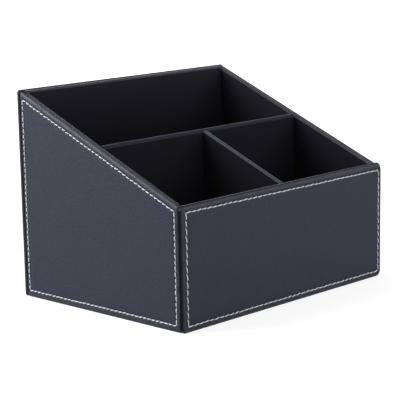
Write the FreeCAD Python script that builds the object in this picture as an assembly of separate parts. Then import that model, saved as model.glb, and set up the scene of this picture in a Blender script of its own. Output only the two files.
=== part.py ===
"""Open desk storage box: sewn leather panels on a board carcass with three lined bays.

Millimetres. +X is to the right seen from the front, +Y to the back, +Z up.
The origin is the middle of the footprint, on the desk.
"""

import FreeCAD
import Part

import math
import os

from FreeCAD import Vector

# Overall sizes
width = 180.0
depth = 138.0
back_height = 127.0
front_height = 72.0
side_drop = 0.2

# Boards of the carcass
wall_board_thickness = 2.0
base_board_thickness = 3.0
divider_board_thickness = 2.0
cross_divider_y = 0.0
front_divider_x = 0.0

# Sheet goods
leather_thickness = 0.7
card_thickness = 1.6
liner_thickness = 1.0
felt_thickness = 1.0

# Felt sheet under the base
felt_margin = 4.0

# Wrapped outer panels
panel_desk_clearance = 0.1
front_panel_corner_radius = 3.2
back_panel_corner_radius = 2.2
side_panel_corner_radius = 1.8
panel_edge_radius = 1.6
panel_hem_width = 10.0

# Seam sewn round each outer panel
seam_inset = 3.5
side_seam_end_inset = 2.6
side_seam_bottom_inset = 4.1
seam_groove_width = 1.0
seam_groove_depth = 0.3
level_stitch_pitch = 4.2
side_stitch_pitch = 3.45
stitch_gap = 0.5
stitch_width = 0.7
stitch_height = 0.5
stitch_taper = 0.5

# Leather strips over the rims
strip_leg = 8.0
strip_fold_radius = 1.5
liner_drop = 0.8

# Extra length of tools and blanks that are trimmed away
overrun = 6.0

# Thickness of a finished panel: face, card and turned hem
panel_thickness = leather_thickness + card_thickness + leather_thickness

# Outer and inner faces of the carcass boards
outer_x = width / 2 - panel_thickness
outer_y = depth / 2 - panel_thickness
inner_x = outer_x - wall_board_thickness
inner_y = outer_y - wall_board_thickness

# Heights of the carcass above the desk
carcass_bottom = felt_thickness
base_top = carcass_bottom + base_board_thickness

# Straight slope of the side rims, which end a little below the front and back rims
side_front_height = front_height - side_drop
side_back_height = back_height - side_drop
slope_angle = math.atan2(side_back_height - side_front_height, 2 * outer_y)

# Faces of the two dividers
cross_front_y = cross_divider_y - divider_board_thickness / 2
cross_back_y = cross_divider_y + divider_board_thickness / 2
split_left_x = front_divider_x - divider_board_thickness / 2
split_right_x = front_divider_x + divider_board_thickness / 2

X_AXIS = Vector(1, 0, 0)
Y_AXIS = Vector(0, 1, 0)
Z_AXIS = Vector(0, 0, 1)


def rim_height(y, below=0.0):
    """Height of the side rims at y, less a thickness measured square to their slope."""
    rise = (y + outer_y) * math.tan(slope_angle)
    return side_front_height + rise - below / math.cos(slope_angle)


# Level top of the cross divider, flush with the side rims at its middle
cross_rim = rim_height(cross_divider_y)


def direction(start, end):
    """Unit vector from one point to another."""
    return (end - start).normalize()


def corner_rays(points, index):
    """Unit vectors along the two sides of a corner, and half the angle between them."""
    corner = points[index]
    back = direction(corner, points[index - 1])
    ahead = direction(corner, points[(index + 1) % len(points)])
    return back, ahead, back.getAngle(ahead) / 2


def inset_points(points, insets):
    """Corners of a convex outline whose sides are moved in, each by its own inset.

    The first inset belongs to the side from the first point to the second, and so on round.
    """
    moved = []
    for index, corner in enumerate(points):
        back, ahead, half_angle = corner_rays(points, index)
        slant = math.sin(2 * half_angle)
        moved.append(corner + ahead * (insets[index - 1] / slant) + back * (insets[index] / slant))
    return moved


def rounded_face(points, radii):
    """Flat face with straight sides, each corner rounded to its own radius or left sharp."""
    corners = []
    for index, corner in enumerate(points):
        back, ahead, half_angle = corner_rays(points, index)
        setback = radii[index] / math.tan(half_angle)
        reach = radii[index] / math.sin(half_angle) - radii[index]
        middle = corner + (back + ahead).normalize() * reach
        corners.append((corner + back * setback, middle, corner + ahead * setback))
    edges = []
    for index, (start, middle, end) in enumerate(corners):
        if radii[index] > 0:
            edges.append(Part.Arc(start, middle, end).toShape())
        next_start = corners[(index + 1) % len(corners)][0]
        edges.append(Part.LineSegment(end, next_start).toShape())
    return Part.Face(Part.Wire(edges))


def slab(x_range, y_range, z_range):
    """Rectangular sheet or board between two corners."""
    low = Vector(x_range[0], y_range[0], z_range[0])
    size = Vector(x_range[1], y_range[1], z_range[1]) - low
    return Part.makeBox(size.x, size.y, size.z, low)


def side_profile(outline, x_range):
    """Board or sheet cut to an outline of (y, z) points and extruded across X."""
    points = [Vector(x_range[0], y, z) for y, z in outline]
    face = Part.Face(Part.makePolygon(points + points[:1]))
    return face.extrude(X_AXIS * (x_range[1] - x_range[0]))


def sloped_outline(y_range, bottom, below):
    """Outline of a wall between two depths, its top a given amount square below the rim slope."""
    front, back = y_range
    return [
        (front, bottom),
        (back, bottom),
        (back, rim_height(back, below)),
        (front, rim_height(front, below)),
    ]


def placed(shape, origin, x_direction, y_direction):
    """Shape moved from its own XY plane to a plane of the box."""
    z_direction = x_direction.cross(y_direction)
    turn = FreeCAD.Rotation(x_direction, y_direction, z_direction, "ZXY")
    shape.Placement = FreeCAD.Placement(origin, turn).multiply(shape.Placement)
    return shape


def save(name, shape):
    """Write one piece of the box to its own file."""
    shape.exportStep(os.path.join("parts", name + ".step"))


def carcass_boards():
    """Boards of the carcass, glued edge to face: front and back cover the ends of the sides."""
    side_outline = sloped_outline((-inner_y, inner_y), carcass_bottom, leather_thickness)
    split_outline = sloped_outline((-inner_y, cross_front_y), base_top, leather_thickness)
    full_width = (-outer_x, outer_x)
    front_span = (carcass_bottom, front_height - leather_thickness)
    back_span = (carcass_bottom, back_height - leather_thickness)
    cross_span = (base_top, cross_rim - leather_thickness)
    return {
        "base_board": slab((-inner_x, inner_x), (-inner_y, inner_y), (carcass_bottom, base_top)),
        "front_board": slab(full_width, (-outer_y, -inner_y), front_span),
        "back_board": slab(full_width, (inner_y, outer_y), back_span),
        "left_board": side_profile(side_outline, (-outer_x, -inner_x)),
        "right_board": side_profile(side_outline, (inner_x, outer_x)),
        "cross_divider_board": slab((-inner_x, inner_x), (cross_front_y, cross_back_y), cross_span),
        "front_divider_board": side_profile(split_outline, (split_left_x, split_right_x)),
    }


def wall_strip_face():
    """Section of a wall's rim strip: flat over the board's top edge, then folded down inside."""
    inside = wall_board_thickness
    fold = wall_board_thickness + leather_thickness
    corners = [
        Vector(0, 0, 0),
        Vector(inside, 0, 0),
        Vector(inside, -strip_leg, 0),
        Vector(fold, -strip_leg, 0),
        Vector(fold, leather_thickness, 0),
        Vector(0, leather_thickness, 0),
    ]
    radii = [0.0, 0.0, 0.0, 0.0, strip_fold_radius, 0.0]
    return rounded_face(corners, radii)


def divider_strip_face():
    """Section of a divider's strip: over the board's top edge and down both of its faces."""
    board_face = divider_board_thickness / 2
    strip_face = board_face + leather_thickness
    corners = [
        Vector(-board_face, 0, 0),
        Vector(-board_face, -strip_leg, 0),
        Vector(-strip_face, -strip_leg, 0),
        Vector(-strip_face, leather_thickness, 0),
        Vector(strip_face, leather_thickness, 0),
        Vector(strip_face, -strip_leg, 0),
        Vector(board_face, -strip_leg, 0),
        Vector(board_face, 0, 0),
    ]
    radii = [0.0, 0.0, 0.0, strip_fold_radius, strip_fold_radius, 0.0, 0.0, 0.0]
    return rounded_face(corners, radii)


def sloped_strip(face, x, across, y_range):
    """Strip along a sloped rim, trimmed upright at both ends."""
    uphill = Vector(0, math.cos(slope_angle), math.sin(slope_angle))
    square_up = Vector(0, -math.sin(slope_angle), math.cos(slope_angle))
    front, back = y_range
    start = Vector(x, front, rim_height(front, leather_thickness)) - uphill * overrun
    length = (back - front) / math.cos(slope_angle) + 2 * overrun
    run = across.cross(square_up)
    blank = face.extrude(Z_AXIS * length * run.dot(uphill))
    strip = placed(blank, start, across, square_up)
    trim = slab((-width, width), (front, back), (-back_height, 2 * back_height))
    return strip.common(trim)


def level_strip(y, across, height):
    """Strip along the level rim of the front or back wall, over its whole width."""
    run = across.cross(Z_AXIS)
    start = Vector(-outer_x * run.x, y, height - leather_thickness)
    strip = wall_strip_face().extrude(Z_AXIS * 2 * outer_x)
    return placed(strip, start, across, Z_AXIS)


def rim_strips(boards):
    """Leather strips over every rim, notched where a board passes through them."""
    side_run = (-inner_y, inner_y)
    cross_board = boards["cross_divider_board"]
    left = sloped_strip(wall_strip_face(), -outer_x, X_AXIS, side_run).cut(cross_board)
    right = sloped_strip(wall_strip_face(), outer_x, -X_AXIS, side_run).cut(cross_board)

    sides = [boards["left_board"], boards["right_board"], left, right]
    front = level_strip(-outer_y, Y_AXIS, front_height).cut(sides)
    back = level_strip(outer_y, -Y_AXIS, back_height).cut(sides)

    cross_start = Vector(-inner_x, cross_divider_y, cross_rim - leather_thickness)
    cross = divider_strip_face().extrude(Z_AXIS * 2 * inner_x)
    cross = placed(cross, cross_start, Y_AXIS, Z_AXIS)
    cross = cross.cut([boards["front_divider_board"], left, right])

    split_run = (-inner_y, cross_front_y - leather_thickness)
    split = sloped_strip(divider_strip_face(), front_divider_x, X_AXIS, split_run)
    return {
        "front_rim_strip": front.cut([boards["front_divider_board"], split]),
        "back_rim_strip": back,
        "left_rim_strip": left,
        "right_rim_strip": right,
        "cross_divider_strip": cross,
        "front_divider_strip": split,
    }


def bay_liners(bay, x_range, y_range, front_rim, back_rim, strips):
    """Flock-faced cards on the four walls of a bay, lapping its strips, and the floor pad."""
    left, right = x_range
    front, back = y_range
    low_y = front + liner_thickness
    high_y = back - liner_thickness
    drop = liner_drop * math.cos(slope_angle)
    side_outline = sloped_outline((low_y, high_y), base_top, drop)
    pad_x = (left + liner_thickness, right - liner_thickness)
    liners = {
        "front_liner": slab(x_range, (front, low_y), (base_top, front_rim - liner_drop)),
        "back_liner": slab(x_range, (high_y, back), (base_top, back_rim - liner_drop)),
        "left_liner": side_profile(side_outline, (left, left + liner_thickness)),
        "right_liner": side_profile(side_outline, (right - liner_thickness, right)),
    }
    pieces = {name: liner.cut(strips) for name, liner in liners.items()}
    pieces["floor_pad"] = slab(pad_x, (low_y, high_y), (base_top, base_top + liner_thickness))
    return {bay + "_" + name: piece for name, piece in pieces.items()}


def layer_between(outline, radius, bottom, top):
    """Flat layer of a panel between two levels, with one radius at all its corners."""
    layer = rounded_face(outline, [radius] * len(outline)).extrude(Z_AXIS * (top - bottom))
    layer.translate(Z_AXIS * bottom)
    return layer


def panel_layer(corners, corner_radius, inset, bottom, top):
    """Layer that follows the rounded outline of a panel at an even inset."""
    outline = inset_points(corners, [inset] * len(corners))
    return layer_between(outline, max(corner_radius - inset, 0.0), bottom, top)


def seam_groove(corners, seam_insets):
    """Groove that the seam pulls into the face, turning sharply at the corners."""
    floor = panel_thickness - seam_groove_depth
    top = panel_thickness + overrun
    outside = [inset - seam_groove_width / 2 for inset in seam_insets]
    inside = [inset + seam_groove_width / 2 for inset in seam_insets]
    island = layer_between(inset_points(corners, inside), 0.0, floor, top)
    return layer_between(inset_points(corners, outside), 0.0, floor, top).cut(island)


def rolled_edge(blank):
    """Panel blank with the edges of its outer face rounded over."""
    face = [edge for edge in blank.Edges if edge.BoundBox.ZMin > panel_thickness / 2]
    return blank.makeFillet(panel_edge_radius, face)


def panel_stitches(corners, seam_insets, pitch):
    """Seam of separate stitches, lying in the groove with both ends dipping into it."""
    seam = inset_points(corners, seam_insets)
    floor = panel_thickness - seam_groove_depth
    stitches = []
    for start, end in zip(seam, seam[1:] + seam[:1]):
        along = direction(start, end)
        length = (end - start).Length
        count = round(length / pitch)
        half = (length / count - stitch_gap) / 2
        profile = [
            Vector(-half, 0, 0),
            Vector(half, 0, 0),
            Vector(half - stitch_taper, stitch_height, 0),
            Vector(-half + stitch_taper, stitch_height, 0),
        ]
        stitch = Part.Face(Part.makePolygon(profile + profile[:1])).extrude(Z_AXIS * stitch_width)
        stitch.translate(Z_AXIS * (-stitch_width / 2))
        for index in range(count):
            centre = start + along * (length * (index + 1 / 2) / count) + Z_AXIS * floor
            stitches.append(placed(stitch.copy(), centre, along, Z_AXIS))
    return Part.makeCompound(stitches)


def wrapped_panel(corners, corner_radius, seam_insets, pitch):
    """Leather, card and seam of one outer panel, its back on the XY plane.

    The leather covers the face of the card, rolls over its edges and ends in a hem turned
    onto the back, which leaves the middle of the card bare.
    """
    card_level = leather_thickness + card_thickness
    hem_end = leather_thickness + panel_hem_width
    card = panel_layer(corners, corner_radius, leather_thickness, leather_thickness, card_level)
    bare_back = panel_layer(corners, corner_radius, hem_end, 0.0, leather_thickness)
    blank = rolled_edge(panel_layer(corners, corner_radius, 0.0, 0.0, panel_thickness))
    leather = blank.cut([card, bare_back, seam_groove(corners, seam_insets)])
    stitching = panel_stitches(corners, seam_insets, pitch)
    return {"leather": leather, "card": card, "stitching": stitching}


def level_panel_corners(height):
    """Corners of the front or back panel, which cover the ends of the side panels."""
    half = width / 2
    return [
        Vector(-half, panel_desk_clearance, 0),
        Vector(half, panel_desk_clearance, 0),
        Vector(half, height, 0),
        Vector(-half, height, 0),
    ]


def side_panel_corners(left_height, right_height):
    """Corners of a side panel seen from outside, with its sloping top."""
    return [
        Vector(-outer_y, panel_desk_clearance, 0),
        Vector(outer_y, panel_desk_clearance, 0),
        Vector(outer_y, right_height, 0),
        Vector(-outer_y, left_height, 0),
    ]


def outer_panels():
    """The four wrapped panels, each glued by its hem to the outside of the carcass."""
    left_corners = side_panel_corners(side_back_height, side_front_height)
    right_corners = side_panel_corners(side_front_height, side_back_height)
    level_insets = [seam_inset, seam_inset, seam_inset, seam_inset]
    side_insets = [side_seam_bottom_inset, side_seam_end_inset, seam_inset, side_seam_end_inset]
    front_make = (front_panel_corner_radius, level_insets, level_stitch_pitch)
    back_make = (back_panel_corner_radius, level_insets, level_stitch_pitch)
    side_make = (side_panel_corner_radius, side_insets, side_stitch_pitch)
    sides = {
        "front": (level_panel_corners(front_height), front_make, Y_AXIS * -outer_y, X_AXIS),
        "back": (level_panel_corners(back_height), back_make, Y_AXIS * outer_y, -X_AXIS),
        "left": (left_corners, side_make, X_AXIS * -outer_x, -Y_AXIS),
        "right": (right_corners, side_make, X_AXIS * outer_x, Y_AXIS),
    }
    pieces = {}
    for side, (corners, make, origin, across) in sides.items():
        for layer, shape in wrapped_panel(corners, *make).items():
            pieces[side + "_panel_" + layer] = placed(shape, origin, across, Z_AXIS)
    return pieces


def base_felt():
    """Felt sheet under the base, inside the lower edges of the panels, on which the box stands."""
    half_x = outer_x - felt_margin
    half_y = outer_y - felt_margin
    return slab((-half_x, half_x), (-half_y, half_y), (0.0, felt_thickness))


def storage_box():
    """Every piece of the box by name, in its place."""
    boards = carcass_boards()
    strips = rim_strips(boards)
    laps = list(strips.values())
    rear_run = (cross_back_y, inner_y)
    front_run = (-inner_y, cross_front_y)
    pieces = {**boards, **strips, **outer_panels(), "base_felt": base_felt()}
    pieces.update(
        bay_liners("rear_bay", (-inner_x, inner_x), rear_run, cross_rim, back_height, laps)
    )
    for bay, x_range in {
        "left_bay": (-inner_x, split_left_x),
        "right_bay": (split_right_x, inner_x),
    }.items():
        pieces.update(bay_liners(bay, x_range, front_run, front_height, cross_rim, laps))
    return pieces


os.makedirs("parts", exist_ok=True)
for piece_name, piece_shape in storage_box().items():
    save(piece_name, piece_shape)
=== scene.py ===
"""Looks of an open desk storage box: sewn leather panels, folded rim strips and flock-lined bays.

Metres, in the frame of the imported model: +X to the right seen from the front, +Y back, +Z up.
"""

import math

import bpy
import numpy as np
from bpy.props import FloatProperty, FloatVectorProperty, PointerProperty
from mathutils import Matrix, Vector


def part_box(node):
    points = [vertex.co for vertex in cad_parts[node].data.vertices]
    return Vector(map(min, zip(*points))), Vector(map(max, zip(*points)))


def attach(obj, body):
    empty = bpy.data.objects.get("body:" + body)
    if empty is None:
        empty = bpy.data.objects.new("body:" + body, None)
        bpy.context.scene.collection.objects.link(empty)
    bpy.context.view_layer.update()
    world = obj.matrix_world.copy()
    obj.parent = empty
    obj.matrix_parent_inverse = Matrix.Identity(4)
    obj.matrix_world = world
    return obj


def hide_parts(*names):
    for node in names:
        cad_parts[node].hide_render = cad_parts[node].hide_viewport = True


bl_info = {
    "name": "Desk Storage Box",
    "version": (1, 0, 0),
    "blender": (4, 5, 0),
    "location": "View3D > Sidebar > Storage Box",
    "description": "Dresses a desk storage box in sewn leather, flock lining and felt",
    "category": "Object",
}

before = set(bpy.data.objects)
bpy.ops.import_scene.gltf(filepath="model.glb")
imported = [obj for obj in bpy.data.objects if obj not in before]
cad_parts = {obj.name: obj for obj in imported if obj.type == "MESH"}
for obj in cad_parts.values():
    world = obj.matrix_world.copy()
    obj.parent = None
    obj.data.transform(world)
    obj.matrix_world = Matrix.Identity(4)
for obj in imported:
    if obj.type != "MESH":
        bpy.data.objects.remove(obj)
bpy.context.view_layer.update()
BODY = "root"

# Directions of the box
RIGHT = np.array((1.0, 0.0, 0.0))
BACK = np.array((0.0, 1.0, 0.0))
UP = np.array((0.0, 0.0, 1.0))

SIDES = ("front", "back", "left", "right")
LEVEL_SIDES = SIDES[:2]

# How finely the surfaces are sampled
STEPS_PER_STITCH = 8
CORNER_CLEAR_STEPS = 3
CORNER_ARC_STEPS = 6
ROLL_STEPS = 8
FOLD_STEPS = 5
THREAD_SIDES = 8
THREAD_STATIONS = 6
RIPPLE_WAVES = 7
STRIP_STATION = 0.0015
CARD_STATION = 0.003

# Rings that close the flat middle of a piece, as shares of its border
MIDDLE_SHARES = np.array((0.97, 0.9, 0.8, 0.68, 0.55, 0.42, 0.29, 0.16, 0.06))


def node_box(node):
    """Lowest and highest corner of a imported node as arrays."""
    low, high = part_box(node)
    return np.array(low), np.array(high)


class BoxSizes:
    """Sizes of the box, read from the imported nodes."""

    def __init__(self):
        self.half_width, _, self.front_top = node_box("front_panel_leather")[1]
        self.back_top = node_box("back_panel_leather")[1][2]
        self.inner_x, self.outer_x = (corner[0] for corner in node_box("right_board"))
        self.inner_y, self.outer_y = (corner[1] for corner in node_box("back_board"))
        self.panel_thickness = self.half_width - self.outer_x
        self.leather = self.front_top - node_box("front_board")[1][2]
        self.board = self.outer_x - self.inner_x
        self.cross_front, self.cross_back = (corner[1] for corner in node_box("cross_divider_board"))
        self.split_left, self.split_right = (corner[0] for corner in node_box("front_divider_board"))
        self.strip_leg = node_box("front_board")[1][2] - node_box("front_rim_strip")[0][2]
        self.cross_top = node_box("cross_divider_board")[1][2]
        side_top, split_top = node_box("left_board")[1], node_box("front_divider_board")[1]
        self.slope = (side_top[2] - split_top[2]) / (side_top[1] - split_top[1])
        self.slope_angle = math.atan(self.slope)
        self.middle_board_top = split_top[2] - self.slope * split_top[1]

    def board_rim(self, y):
        """Height of the sloping tops of the boards at a depth y."""
        return self.middle_board_top + self.slope * y

    def rim(self, y):
        """Height of the leather on the sloping tops at a depth y."""
        return self.board_rim(y) + self.leather / math.cos(self.slope_angle)


SIZES = BoxSizes()


def length_property(name, description, default):
    """Property that holds a length in metres."""
    return FloatProperty(name=name, description=description, default=default, unit="LENGTH", precision=5)


def colour_property(name, description, default):
    """Property that holds a linear colour."""
    return FloatVectorProperty(
        name=name, description=description, default=default, subtype="COLOR", size=3, min=0.0, max=1.0
    )


def angle_property(name, description, degrees):
    """Property that holds an angle, with its default written in degrees."""
    return FloatProperty(
        name=name, description=description, default=math.radians(degrees), subtype="ANGLE"
    )


def share_property(name, description, default):
    """Property that holds a share from 0 to 1."""
    return FloatProperty(
        name=name, description=description, default=default, subtype="FACTOR", min=0.0, max=1.0
    )


def power_property(name, place, watts):
    """Property that holds the power of the soft lamp at a place, in watts."""
    return FloatProperty(
        name=name, description="Power of the soft lamp " + place, default=watts, unit="POWER"
    )


class LeatherFinish(bpy.types.PropertyGroup):
    """Sizes and colour of the wrapped panels and the rim strips."""

    colour: colour_property("Leather", "Colour of the leather-look sheet", (0.0250, 0.0306, 0.0540))
    # Paler colour of rolled and folded edges: partly wear, partly a painted highlight
    wear_and_highlight: colour_property("Worn edges", "Colour of rolled and folded edges", (0.057, 0.058, 0.067))
    front_left_radius: length_property("Front left corners", "Rounding of the front's left end", 0.0022)
    front_right_radius: length_property("Front right corners", "Rounding of its right end", 0.0038)
    back_corner_radius: length_property("Back corners", "Corner rounding of the back panel", 0.0016)
    side_radius: length_property("Side corners", "Corner rounding of the side panels", 0.0014)
    foot_radius: length_property("Foot corners", "The same at their bottom corners", 0.0007)
    point_radius: length_property("Pointed corners", "The same at their narrow upper corners", 0.0009)
    roll_width: length_property("Roll width", "How far in the leather starts to roll over", 0.0023)
    roll_height: length_property("Roll height", "How far down the edge the roll reaches", 0.0013)
    back_radius: length_property("Back radius", "Fold of the leather onto the panel's back", 0.0010)
    hem_width: length_property("Hem width", "Hem turned onto the panel's back", 0.010)
    fold_radius: length_property("Fold radius", "Fold of a rim strip into the bay", 0.0016)
    divider_radius: length_property("Divider radius", "Rounding of the dividers' covered tops", 0.0015)
    front_lift: length_property("Front lift", "Rise of the front panel's top edge to the right", 0.0015)
    back_lift: length_property("Back lift", "Rise of the back panel's top edge", 0.00062)
    front_lean: length_property("Front lean", "Lean of the front's right end, out at its top", 0.00035)
    ripple: length_property("Ripple", "Height of the gentle unevenness of glued leather", 0.00010)


class SeamFinish(bpy.types.PropertyGroup):
    """Sizes and colour of the seam that is sewn round each panel."""

    colour: colour_property("Thread", "Colour of the sewing thread", (0.87, 0.90, 1.0))
    inset: length_property("Inset", "Distance of the seam from the panel's edge", 0.0035)
    end_inset: length_property("End inset", "The same at the upright ends of the side panels", 0.0026)
    bottom_inset: length_property("Bottom inset", "The same at the bottom of the side panels", 0.0041)
    level_pitch: length_property("Level pitch", "Distance of needle holes, front and back", 0.0042)
    side_pitch: length_property("Side pitch", "Distance of needle holes on the side panels", 0.00345)
    gap: length_property("Gap", "Length of the gap between two stitches", 0.00045)
    thread: length_property("Thread width", "Width of a stitch", 0.00069)
    slant: angle_property("Slant", "Turn of a stitch against the line of its seam", 7.0)
    groove: length_property("Groove", "Depth of the groove that the seam pulls", 0.00030)
    needle: length_property("Needle hole", "Further depth at each needle hole", 0.00030)


class LiningFinish(bpy.types.PropertyGroup):
    """Sizes and colours of the bay lining, the boards and the felt."""

    colour: colour_property("Lining", "Colour of the flock lining", (0.0068, 0.0068, 0.0099))
    edge_radius: length_property("Lining edge", "Rounding of the lining cards' edges", 0.0005)
    ripple: length_property("Lining ripple", "Unevenness of the lining", 0.00008)
    felt: colour_property("Felt", "Colour of the felt under the base", (0.018, 0.018, 0.020))
    card: colour_property("Card", "Colour of the card inside the panels", (0.42, 0.38, 0.32))
    board: colour_property("Board", "Colour of the stained carcass boards", (0.045, 0.038, 0.032))


class StageSetup(bpy.types.PropertyGroup):
    """Camera, floor and lamps."""

    aim: FloatVectorProperty(
        name="Aim",
        description="Point on the camera's axis",
        default=(0.0, 0.00375, 0.0541),
        subtype="TRANSLATION",
        unit="LENGTH",
    )
    distance: length_property("Distance", "Distance of the camera from its aim", 0.9516)
    azimuth: angle_property("Azimuth", "Turn of the camera towards the box's left", 45.887)
    elevation: angle_property("Elevation", "Height of the camera's line above the desk", 10.869)
    roll: angle_property("Roll", "Tilt of the camera about its own axis", -1.194)
    lens: FloatProperty(
        name="Lens", description="Focal length on a sensor 36 mm wide", default=137.37, unit="CAMERA"
    )
    floor: colour_property("Floor", "Colour of the floor", (0.40, 0.40, 0.40))
    near_white: share_property("Near white", "White that the floor shows close to the box", 0.80)
    gloss_white: share_property("Gloss white", "White of the floor in reflections", 0.35)
    world: share_property("World", "Strength of the even light, as a share of full white", 0.26)
    key: power_property("Key", "high behind the left side", 17.0)
    left_fill: power_property("Left fill", "behind the left side", 10.0)
    front_fill: power_property("Front fill", "low in front", 5.6)
    right_fill: power_property("Right fill", "at the front right", 5.2)
    rim_light: power_property("Rim light", "behind the right side", 7.1)


def unit(vectors):
    """Vectors scaled to a length of one along the last axis."""
    return vectors / np.linalg.norm(vectors, axis=-1, keepdims=True)


def clamped(values):
    """Values held between 0 and 1."""
    return np.clip(values, 0.0, 1.0)


def following(points):
    """The point after each point of a closed line."""
    return np.roll(points, -1, axis=0)


def side_lengths(points):
    """Distance from each point of a closed line to the next."""
    return np.linalg.norm(following(points) - points, axis=1)


def enclosed(points):
    """Area inside a closed flat line, positive where the line runs counterclockwise."""
    ahead = following(points)
    return (points[:, 0] * ahead[:, 1] - points[:, 1] * ahead[:, 0]).sum() / 2


def ripple(points, wavelength, seed):
    """Gentle unevenness from -1 to 1: the mean of sine waves of random directions and phases."""
    draw = np.random.default_rng(seed)
    directions = unit(draw.normal(size=(RIPPLE_WAVES, 3)))
    lengths = wavelength * draw.uniform(0.6, 1.8, RIPPLE_WAVES)
    phases = draw.uniform(0.0, 2 * math.pi, RIPPLE_WAVES)
    waves = 2 * math.pi * directions / lengths[:, None]
    return np.sin(points @ waves.T + phases).mean(axis=-1)


class Plane:
    """Plane of a flat piece: an origin and the directions across it, up it and out of it."""

    def __init__(self, origin, across, up):
        self.origin = np.asarray(origin, float)
        self.across = np.asarray(across, float)
        self.up = np.asarray(up, float)
        self.outward = np.cross(self.across, self.up)

    def place(self, flat, heights):
        """Points in the box's frame: origin + across * s + up * t + outward * height."""
        return (
            self.origin
            + flat[..., :1] * self.across
            + flat[..., 1:] * self.up
            + heights[..., None] * self.outward
        )


class Outline:
    """Convex outline of a flat piece, counterclockwise seen from outside."""

    def __init__(self, corners):
        self.corners = np.asarray(corners, float)
        self.along = unit(following(self.corners) - self.corners)
        self.before = np.roll(self.along, 1, axis=0)
        cross = self.before[:, 0] * self.along[:, 1] - self.before[:, 1] * self.along[:, 0]
        self.turn = np.arctan2(cross, (self.before * self.along).sum(axis=1))
        self.first_angle = np.arctan2(-self.before[:, 0], self.before[:, 1])

    def inset_corners(self, insets):
        """Corners after each side has moved in by its own inset, measured square to the side."""
        slant = np.sin(self.turn)
        ahead = np.roll(insets, 1, axis=-1) / slant
        behind = insets / slant
        return self.corners + self.along * ahead[..., None] - self.before * behind[..., None]

    def cut_size(self, turned):
        """Width, height and area of the sheet that covers the outline and is turned in all round.

        The area is that of the outline and of a band of the turned width along its sides.
        """
        band = side_lengths(self.corners).sum() * turned
        width, height = self.corners.max(axis=0) - self.corners.min(axis=0) + 2 * turned
        return (float(width), float(height)), float(enclosed(self.corners) + band)

    def corner_angles(self, corner):
        """Angles of the spokes of a rounded corner's arc."""
        return self.first_angle[corner] + self.turn[corner] * np.linspace(0.0, 1.0, CORNER_ARC_STEPS + 1)

    def upward(self, shares):
        """How far each ring point faces up the plane, from -1 at the bottom to 1 at the top."""
        parts = []
        for corner in range(len(self.corners)):
            angles = self.corner_angles(corner)
            parts.append(np.sin(angles))
            parts.append(np.full(len(shares[corner]), np.sin(angles[-1])))
        return np.concatenate(parts)

    def rings(self, insets, radii, shares):
        """Rounded rings inside the outline, one for each row of insets and of corner radii.

        Each corner is an arc about a centre that lies its radius inside both sides, and each side
        is divided at its shares between the ends of its two arcs.
        """
        peaks = self.inset_corners(insets)
        setback = (radii * np.tan(self.turn / 2))[..., None]
        starts = peaks - self.before * setback
        ends = peaks + self.along * setback
        parts = []
        for corner in range(len(self.corners)):
            angles = self.corner_angles(corner)
            spokes = np.stack((np.cos(angles), np.sin(angles)), axis=-1)
            radius = radii[:, corner, None]
            centre = starts[:, corner] - radius * spokes[0]
            parts.append(centre[:, None] + radius[:, None] * spokes)
            reach = starts[:, (corner + 1) % len(self.corners)] - ends[:, corner]
            parts.append(ends[:, corner, None] + shares[corner][None, :, None] * reach[:, None])
        return np.concatenate(parts, axis=1)


def even_shares(outline, station):
    """Shares that divide each side of an outline into an even number of steps of about a station."""
    counts = 2 * np.ceil(side_lengths(outline.corners) / station / 2).astype(int)
    return [np.arange(1, count) / count for count in counts]


def ring_steps(count):
    """Places of a ring's points and of the points after them."""
    here = np.arange(count)
    return here, (here + 1) % count


def ring_quads(first, count, rings):
    """Quads between rings of equal count, whose points follow each other from a first index."""
    here, ahead = ring_steps(count)
    row = first + count * np.arange(rings - 1)[:, None]
    quads = np.stack((row + here, row + ahead, row + count + ahead, row + count + here), axis=-1)
    return quads.reshape(-1, 4)


def widening(coarse, fine, count):
    """Triangles from a ring of count points to the next ring of twice as many."""
    here, ahead = ring_steps(count)
    narrow, narrow_next = coarse + here, coarse + ahead
    wide, wide_mid, wide_next = fine + 2 * here, fine + 2 * here + 1, fine + 2 * ahead
    return np.concatenate((
        np.stack((narrow, narrow_next, wide_mid), axis=-1),
        np.stack((narrow_next, wide_next, wide_mid), axis=-1),
        np.stack((narrow, wide_mid, wide), axis=-1),
    ))


def narrowing(fine, coarse, count):
    """Triangles from a ring of twice count points to the next ring of count points."""
    return widening(coarse, fine, count)[:, ::-1]


def fan(centre, ring, count, flip):
    """Triangles that close a ring to its centre."""
    here, ahead = ring_steps(count)
    middle = np.full(count, centre)
    order = (middle, ring + ahead, ring + here) if flip else (ring + here, ring + ahead, middle)
    return np.stack(order, axis=-1)


def closed_sheet(plane, flat, heights):
    """Closed surface of a flat piece, from the middle of its back over its edge to its face.

    flat holds the rings of its border as (ring, point, 2) and heights their heights above the
    plane. The first and last rings are drawn in towards their centre, with half as many points,
    and end in a fan.
    """
    rings, count = flat.shape[:2]
    half = count // 2
    shares = MIDDLE_SHARES[:, None, None]
    middles = []
    for ring, order in ((0, slice(None, None, -1)), (-1, slice(None))):
        border = flat[ring, ::2]
        centre = border.mean(axis=0)
        level = heights[ring].mean()
        rows = (centre + (border - centre) * shares)[order]
        points = plane.place(rows, np.full(rows.shape[:2], level)).reshape(-1, 3)
        tip = plane.place(centre[None], np.array([level]))
        middles.append((points, tip))
    (back, back_tip), (face, face_tip) = middles
    border = plane.place(flat, heights).reshape(-1, 3)
    points = np.concatenate((back_tip, back, border, face, face_tip))
    rows = len(MIDDLE_SHARES)
    border_first = 1 + rows * half
    face_first = border_first + rings * count
    quads = np.concatenate((
        ring_quads(1, half, rows),
        ring_quads(border_first, count, rings),
        ring_quads(face_first, half, rows),
    ))
    triangles = np.concatenate((
        fan(0, 1, half, True),
        widening(border_first - half, border_first, half),
        narrowing(face_first - count, face_first, half),
        fan(len(points) - 1, len(points) - 1 - half, half, False),
    ))
    return points, quads.tolist() + triangles.tolist()


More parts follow.
